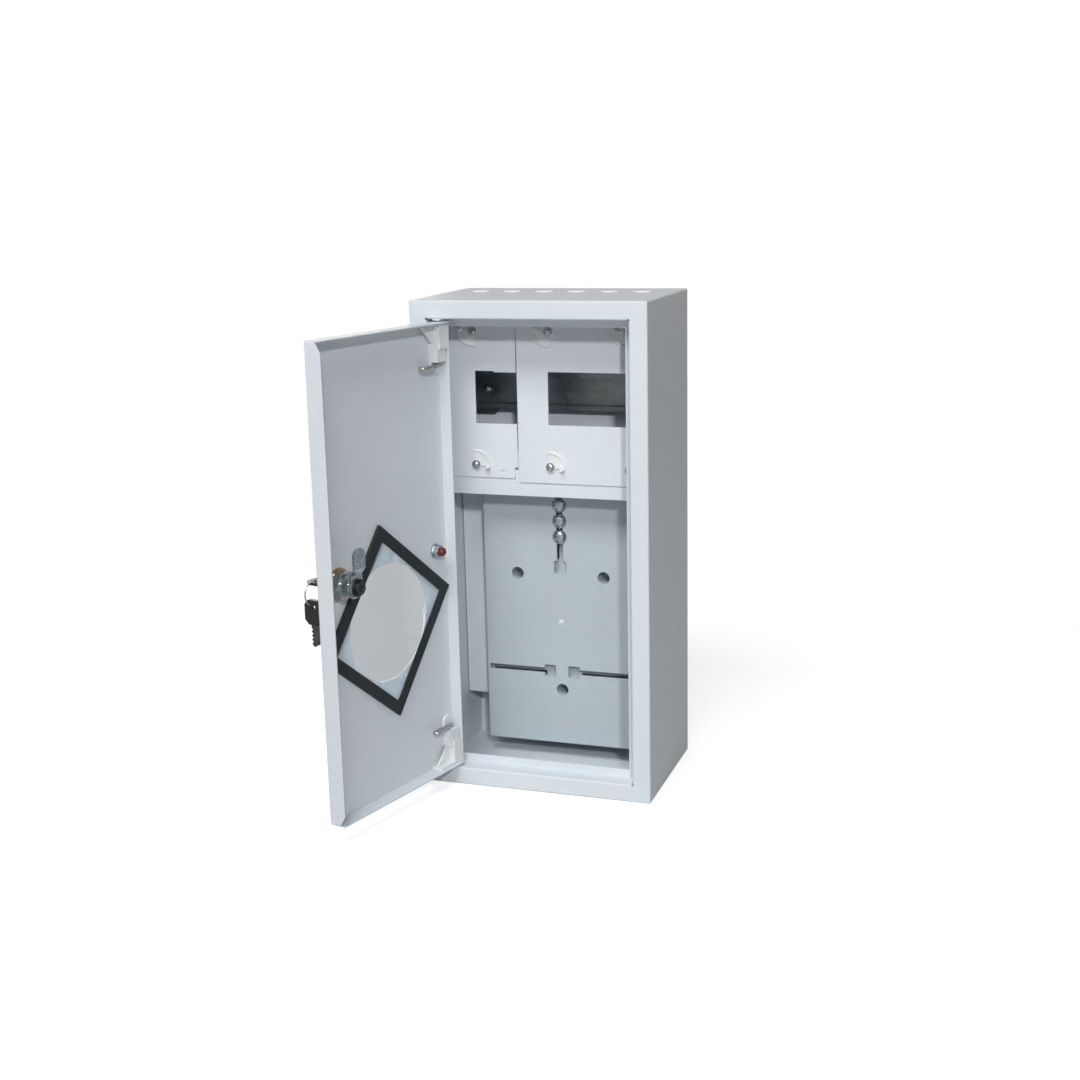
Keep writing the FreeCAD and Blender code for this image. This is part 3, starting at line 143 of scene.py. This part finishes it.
def moulded(name, colour, roughness, grain=1600.0, depth=0.12, mottle=0.05, gate=None):
    """Moulded plastic: a flow streak, dust, a spark-eroded grain, rubbed patches and any painted highlight, a
    pale spot round the gate pip.
    """
    surface = Surface(name, {"IOR": 1.46})
    flow = surface.noise(20.0, 4.0, (1.0, 1.0, 0.35))
    base = surface.blend(surface.spread(flow, 0.0, 1.0), shade(colour, 1 - mottle), shade(colour, 1 + mottle))
    dust = surface.noise(260.0, 6.0)
    base = surface.blend(surface.spread(dust, 0.0, 0.25, 0.55, 0.8), base, shade(colour, 1.25))
    if gate:
        # Painted highlight: the colour turns pale round the gate pip and stands in for the glint of light on
        # it
        base = surface.blend(surface.around(gate, GATE_RADIUS, GATE_FADE), base, PAINTED_GATE_HIGHLIGHT)
    surface.use("Base Color", base)
    rub = surface.noise(70.0, 5.0)
    surface.use("Roughness", surface.spread(rub, roughness - 0.06, roughness + 0.08))
    surface.use("Normal", surface.bump(surface.noise(grain, 2.0), depth, 0.0002, surface.eased(MOULD_EASE)))
    return surface.material


def plated(name, colour, tint, roughness, stretch=(1.0, 1.0, 1.0), grain=500.0, depth=0.08):
    """Plated metal: drifting tint, a drawn or turned grain and patchy gloss."""
    surface = Surface(name, {"Metallic": 1.0})
    drift = surface.noise(120.0, 4.0)
    surface.use("Base Color", surface.blend(surface.spread(drift, 0.0, 1.0), colour, tint))
    drawn = surface.noise(grain, 4.0, stretch)
    surface.use("Roughness", surface.spread(drawn, roughness * 0.75, roughness * 1.35))
    surface.use("Normal", surface.bump(drawn, depth, 0.0002, surface.eased(METAL_EASE)))
    return surface.material


def galvanised(name, colour, tint, roughness):
    """Hot-dip zinc: crystal spangles with a soft dull bloom."""
    surface = Surface(name, {"Metallic": 1.0})
    spangle = surface.cells(210.0)
    bloom = surface.noise(45.0, 5.0)
    flake = surface.add("ShaderNodeSeparateColor", {"Color": spangle}).outputs["Red"]
    base = surface.blend(surface.spread(flake, 0.0, 0.6, 0.0, 1.0), colour, tint)
    surface.use("Base Color", surface.blend(surface.spread(bloom, 0.0, 0.5), base, shade(colour, 0.8)))
    surface.use("Roughness", surface.spread(flake, roughness - 0.08, roughness + 0.1, 0.0, 1.0))
    surface.use("Normal", surface.bump(surface.noise(700.0, 3.0), 0.08, 0.0002, surface.eased(RAIL_EASE)))
    return surface.material


def clear_sheet(name, colour):
    """Clear sheet with faint smears and fine scratches, that lets the lamps' light through."""
    surface = Surface(name, {"IOR": 1.49, "Transmission Weight": 1.0})
    smear = surface.noise(35.0, 6.0, (1.0, 0.6, 1.6))
    surface.use("Base Color", surface.blend(surface.spread(smear, 0.0, 1.0), colour, shade(colour, 0.97)))
    surface.use("Roughness", surface.spread(smear, 0.03, 0.07))
    scratch = surface.noise(900.0, 2.0, (1.0, 0.2, 0.08))
    surface.use("Normal", surface.bump(scratch, 0.01, 0.0001))
    passing = surface.add("ShaderNodeBsdfTransparent", values={"Color": (*colour, 1.0)})
    path = surface.add("ShaderNodeLightPath")
    mix = surface.add("ShaderNodeMixShader", {0: path.outputs["Is Shadow Ray"], 1: surface.shader.outputs[0],
                                              2: passing.outputs[0]})
    surface.tree.links.new(mix.outputs[0], surface.tree.nodes["Material Output"].inputs["Surface"])
    return surface.material


PAINT = (0.765, 0.820, 0.865)
COVER = (0.775, 0.825, 0.870)
# Painted highlight colour round the gate pip on the meter plate
PAINTED_GATE_HIGHLIGHT = (0.94, 0.95, 0.95)
PLATE_GATE = (0.0, -0.0607, -0.0820)
GATE_RADIUS, GATE_FADE = 0.0013, 0.0030
DRAWN_WIRE = (1.0, 1.0, 0.1)
MILLED_BLADE = (1.0, 1.0, 0.15)

FINISHES = {
    "grey_paint": powder_coat("grey_paint", PAINT),
    "cover_paint": powder_coat("cover_paint", COVER, 0.42),
    "entry_plastic": moulded("entry_plastic", (0.93, 0.94, 0.94), 0.5),
    "plate_plastic": moulded("plate_plastic", (0.520, 0.585, 0.620), 0.46,
                             grain=1300.0, depth=0.10, mottle=0.03, gate=PLATE_GATE),
    "white_plastic": moulded("white_plastic", (0.84, 0.865, 0.87), 0.40),
    "black_plastic": moulded("black_plastic", (0.018, 0.018, 0.020), 0.42,
                             grain=1100.0, depth=0.2, mottle=0.15),
    "black_strip": moulded("black_strip", (0.016, 0.021, 0.023), 0.55,
                           grain=800.0, depth=0.25, mottle=0.12),
    "red_cap": moulded("red_cap", (0.15, 0.030, 0.022), 0.40, grain=1500.0, depth=0.08, mottle=0.1),
    "clear_pane": clear_sheet("clear_pane", (0.950, 0.980, 1.0)),
    "zinc": plated("zinc", (0.47, 0.53, 0.55), (0.50, 0.555, 0.56), 0.26, grain=320.0, depth=0.02),
    # Painted shade: the rail's zinc gets a far darker colour than the zinc above, standing in for the shade
    # inside the closed box
    "rail_zinc": galvanised("rail_zinc", (0.20, 0.23, 0.24), (0.25, 0.28, 0.29), 0.36),
    "wire_steel": plated("wire_steel", (0.56, 0.57, 0.57), (0.48, 0.47, 0.45), 0.28, DRAWN_WIRE, 900.0),
    "key_steel": plated("key_steel", (0.10, 0.10, 0.10), (0.15, 0.15, 0.14), 0.34, MILLED_BLADE, 900.0),
    "dark_steel": plated("dark_steel", (0.075, 0.095, 0.095), (0.11, 0.125, 0.125), 0.38),
    "yellow_zinc": plated("yellow_zinc", (0.66, 0.50, 0.22), (0.58, 0.40, 0.30), 0.24),
    "bright_chrome": plated("bright_chrome", (0.54, 0.58, 0.59), (0.47, 0.51, 0.52), 0.13,
                            grain=260.0, depth=0.03),
}

for part in frame["record"]["subparts"]:
    shown = nodes[part["node"]]
    shown.data.materials.clear()
    shown.data.materials.append(FINISHES[part["material_slot"]])
    shown.data.polygons.foreach_set("material_index", [0] * len(shown.data.polygons))


# Floor, backdrop and light

FLOOR_RADIUS = 6.0
FLOOR_GREY = (0.62, 0.62, 0.62, 1)
FLOOR_LIFT = 0.66
FADE_START, FADE_END = 0.30, 0.75
BEHIND_GLASS = 0.54
WHITE = (1, 1, 1, 1)
WARM_WHITE = (1.0, 0.95, 0.90, 1)
AMBIENT = 0.04
SHEEN = 0.50
BOX_MIDDLE = (0, 0, 0)
DOORWAY = (0, -0.1, 0)


def rays(tree, kind):
    """1 for one kind of ray, such as Is Camera Ray, and 0 for the others."""
    return tree.nodes.new("ShaderNodeLightPath").outputs[kind]


def make_floor():
    """Paper that keeps the shadow near the object and fades to white, and is grey behind glass."""
    bpy.ops.mesh.primitive_circle_add(vertices=96, radius=FLOOR_RADIUS, fill_type="NGON",
                                      location=(0, 0, FLOOR_Z))
    floor = bpy.context.object
    floor.name = "floor"
    material = bpy.data.materials.new("floor_white")
    material.use_nodes = True
    tree = material.node_tree
    paper = tree.nodes["Principled BSDF"]
    paper.inputs["Base Color"].default_value = FLOOR_GREY
    paper.inputs["Roughness"].default_value = 0.6
    paper.inputs["Specular IOR Level"].default_value = 0.2
    glow = tree.nodes.new("ShaderNodeEmission")
    glow.inputs["Strength"].default_value = 1.0
    lift = tree.nodes.new("ShaderNodeEmission")
    lift_strength = tree.nodes.new("ShaderNodeMath")
    lift_strength.operation = "MULTIPLY"
    lift_strength.inputs[1].default_value = FLOOR_LIFT
    seen = rays(tree, "Is Camera Ray")
    tree.links.new(seen, lift_strength.inputs[0])
    tree.links.new(lift_strength.outputs[0], lift.inputs["Strength"])
    lifted = tree.nodes.new("ShaderNodeAddShader")
    tree.links.new(paper.outputs[0], lifted.inputs[0])
    tree.links.new(lift.outputs[0], lifted.inputs[1])
    distance = tree.nodes.new("ShaderNodeVectorMath")
    distance.operation = "LENGTH"
    coord = tree.nodes.new("ShaderNodeTexCoord")
    tree.links.new(coord.outputs["Object"], distance.inputs[0])
    fade = tree.nodes.new("ShaderNodeMapRange")
    fade.interpolation_type = "SMOOTHSTEP"
    fade.inputs["From Min"].default_value = FADE_START
    fade.inputs["From Max"].default_value = FADE_END
    tree.links.new(distance.outputs["Value"], fade.inputs["Value"])
    share = tree.nodes.new("ShaderNodeMath")
    share.operation = "MULTIPLY"
    tree.links.new(fade.outputs["Result"], share.inputs[0])
    tree.links.new(seen, share.inputs[1])
    mix = tree.nodes.new("ShaderNodeMixShader")
    tree.links.new(share.outputs[0], mix.inputs[0])
    tree.links.new(lifted.outputs[0], mix.inputs[1])
    tree.links.new(glow.outputs[0], mix.inputs[2])
    dim = tree.nodes.new("ShaderNodeEmission")
    dim.inputs["Strength"].default_value = BEHIND_GLASS
    glazed = tree.nodes.new("ShaderNodeMixShader")
    tree.links.new(rays(tree, "Is Transmission Ray"), glazed.inputs[0])
    tree.links.new(mix.outputs[0], glazed.inputs[1])
    tree.links.new(dim.outputs[0], glazed.inputs[2])
    tree.links.new(glazed.outputs[0], tree.nodes["Material Output"].inputs["Surface"])
    floor.data.materials.append(material)


def make_world():
    """White to the camera, grey behind glass, dim and warm to the rest, and a grey that metal mirrors."""
    world = bpy.data.worlds.new("studio")
    scene.world = world
    world.use_nodes = True
    tree = world.node_tree
    background = tree.nodes["Background"]
    strength = None
    for kind, share in (("Is Camera Ray", 1.0 - AMBIENT), ("Is Transmission Ray", BEHIND_GLASS),
                        ("Is Glossy Ray", SHEEN)):
        term = tree.nodes.new("ShaderNodeMath")
        term.operation = "MULTIPLY_ADD"
        term.inputs[1].default_value = share
        tree.links.new(rays(tree, kind), term.inputs[0])
        if strength:
            tree.links.new(strength, term.inputs[2])
        else:
            term.inputs[2].default_value = AMBIENT
        strength = term.outputs[0]
    tree.links.new(strength, background.inputs["Strength"])
    warmth = tree.nodes.new("ShaderNodeMix")
    warmth.data_type = "RGBA"
    plain = tree.nodes.new("ShaderNodeMath")
    plain.operation = "ADD"
    tree.links.new(rays(tree, "Is Camera Ray"), plain.inputs[0])
    tree.links.new(rays(tree, "Is Transmission Ray"), plain.inputs[1])
    tree.links.new(plain.outputs[0], warmth.inputs["Factor"])
    first, second = [socket for socket in warmth.inputs if socket.type == "RGBA"]
    first.default_value = WARM_WHITE
    second.default_value = WHITE
    mixed = [socket for socket in warmth.outputs if socket.type == "RGBA"][0]
    tree.links.new(mixed, background.inputs["Color"])


def softbox(name, place, aim, size, power, colour=(1.0, 1.0, 1.0)):
    """A rectangular lamp that faces a point; size in metres, power in watts."""
    data = bpy.data.lights.new(name, "AREA")
    data.color = colour
    data.shape = "RECTANGLE"
    data.size, data.size_y = size
    data.energy = power
    lamp = bpy.data.objects.new(name, data)
    lamp.location = place
    lamp.rotation_euler = (Vector(aim) - Vector(place)).to_track_quat("-Z", "Y").to_euler()
    scene.collection.objects.link(lamp)


def dark_flag(place, size):
    """A black card to the right, out of the camera's sight, that keeps that side in shade."""
    bpy.ops.mesh.primitive_plane_add(size=1.0, location=place, rotation=(0, math.pi / 2, 0))
    card = bpy.context.object
    card.name = "dark_flag"
    card.scale = (size[1], size[0], 1)
    card.visible_camera = False
    card.visible_shadow = False
    material = bpy.data.materials.new("flag_black")
    material.use_nodes = True
    cloth = material.node_tree.nodes["Principled BSDF"]
    cloth.inputs["Base Color"].default_value = (0.03, 0.03, 0.03, 1)
    cloth.inputs["Roughness"].default_value = 0.9
    card.data.materials.append(material)


make_floor()
make_world()
softbox("key", (-0.13, -2.56, 3.15), DOORWAY, (1.7, 1.3), 90.0)
softbox("flash", (1.46, -3.39, 1.75), DOORWAY, (0.25, 0.25), 55.0)
softbox("side", (1.7, 1.3, 0.5), BOX_MIDDLE, (0.8, 0.8), 1.2, (1.0, 0.88, 0.78))
softbox("rear", (-1.6, 1.7, 0.10), BOX_MIDDLE, (1.5, 0.6), 28.0)
dark_flag((1.6, 0.3, 0.7), (2.6, 2.4))


# Camera at the photograph's viewpoint: lens in millimetres, angles in radians, place in metres

LENS = 52.11
SENSOR = 36.0
YAW = 0.3325
PITCH = 0.2293
ROLL = -0.0229
VIEWPOINT = Vector((0.43472, -1.37331, 0.31850))

forward = Vector((
    -math.sin(YAW) * math.cos(PITCH),
    math.cos(YAW) * math.cos(PITCH),
    -math.sin(PITCH),
))
level = Vector((math.cos(YAW), math.sin(YAW), 0))
upright = level.cross(forward)
right = math.cos(ROLL) * level + math.sin(ROLL) * upright
up = math.cos(ROLL) * upright - math.sin(ROLL) * level
camera_data = bpy.data.cameras.new("camera")
camera_data.lens = LENS
camera_data.sensor_width = SENSOR
camera = bpy.data.objects.new("camera", camera_data)
facing = Matrix((right, up, -forward)).transposed().to_4x4()
camera.matrix_world = Matrix.Translation(VIEWPOINT) @ facing
scene.collection.objects.link(camera)
scene.camera = camera
scene.view_settings.view_transform = "Standard"
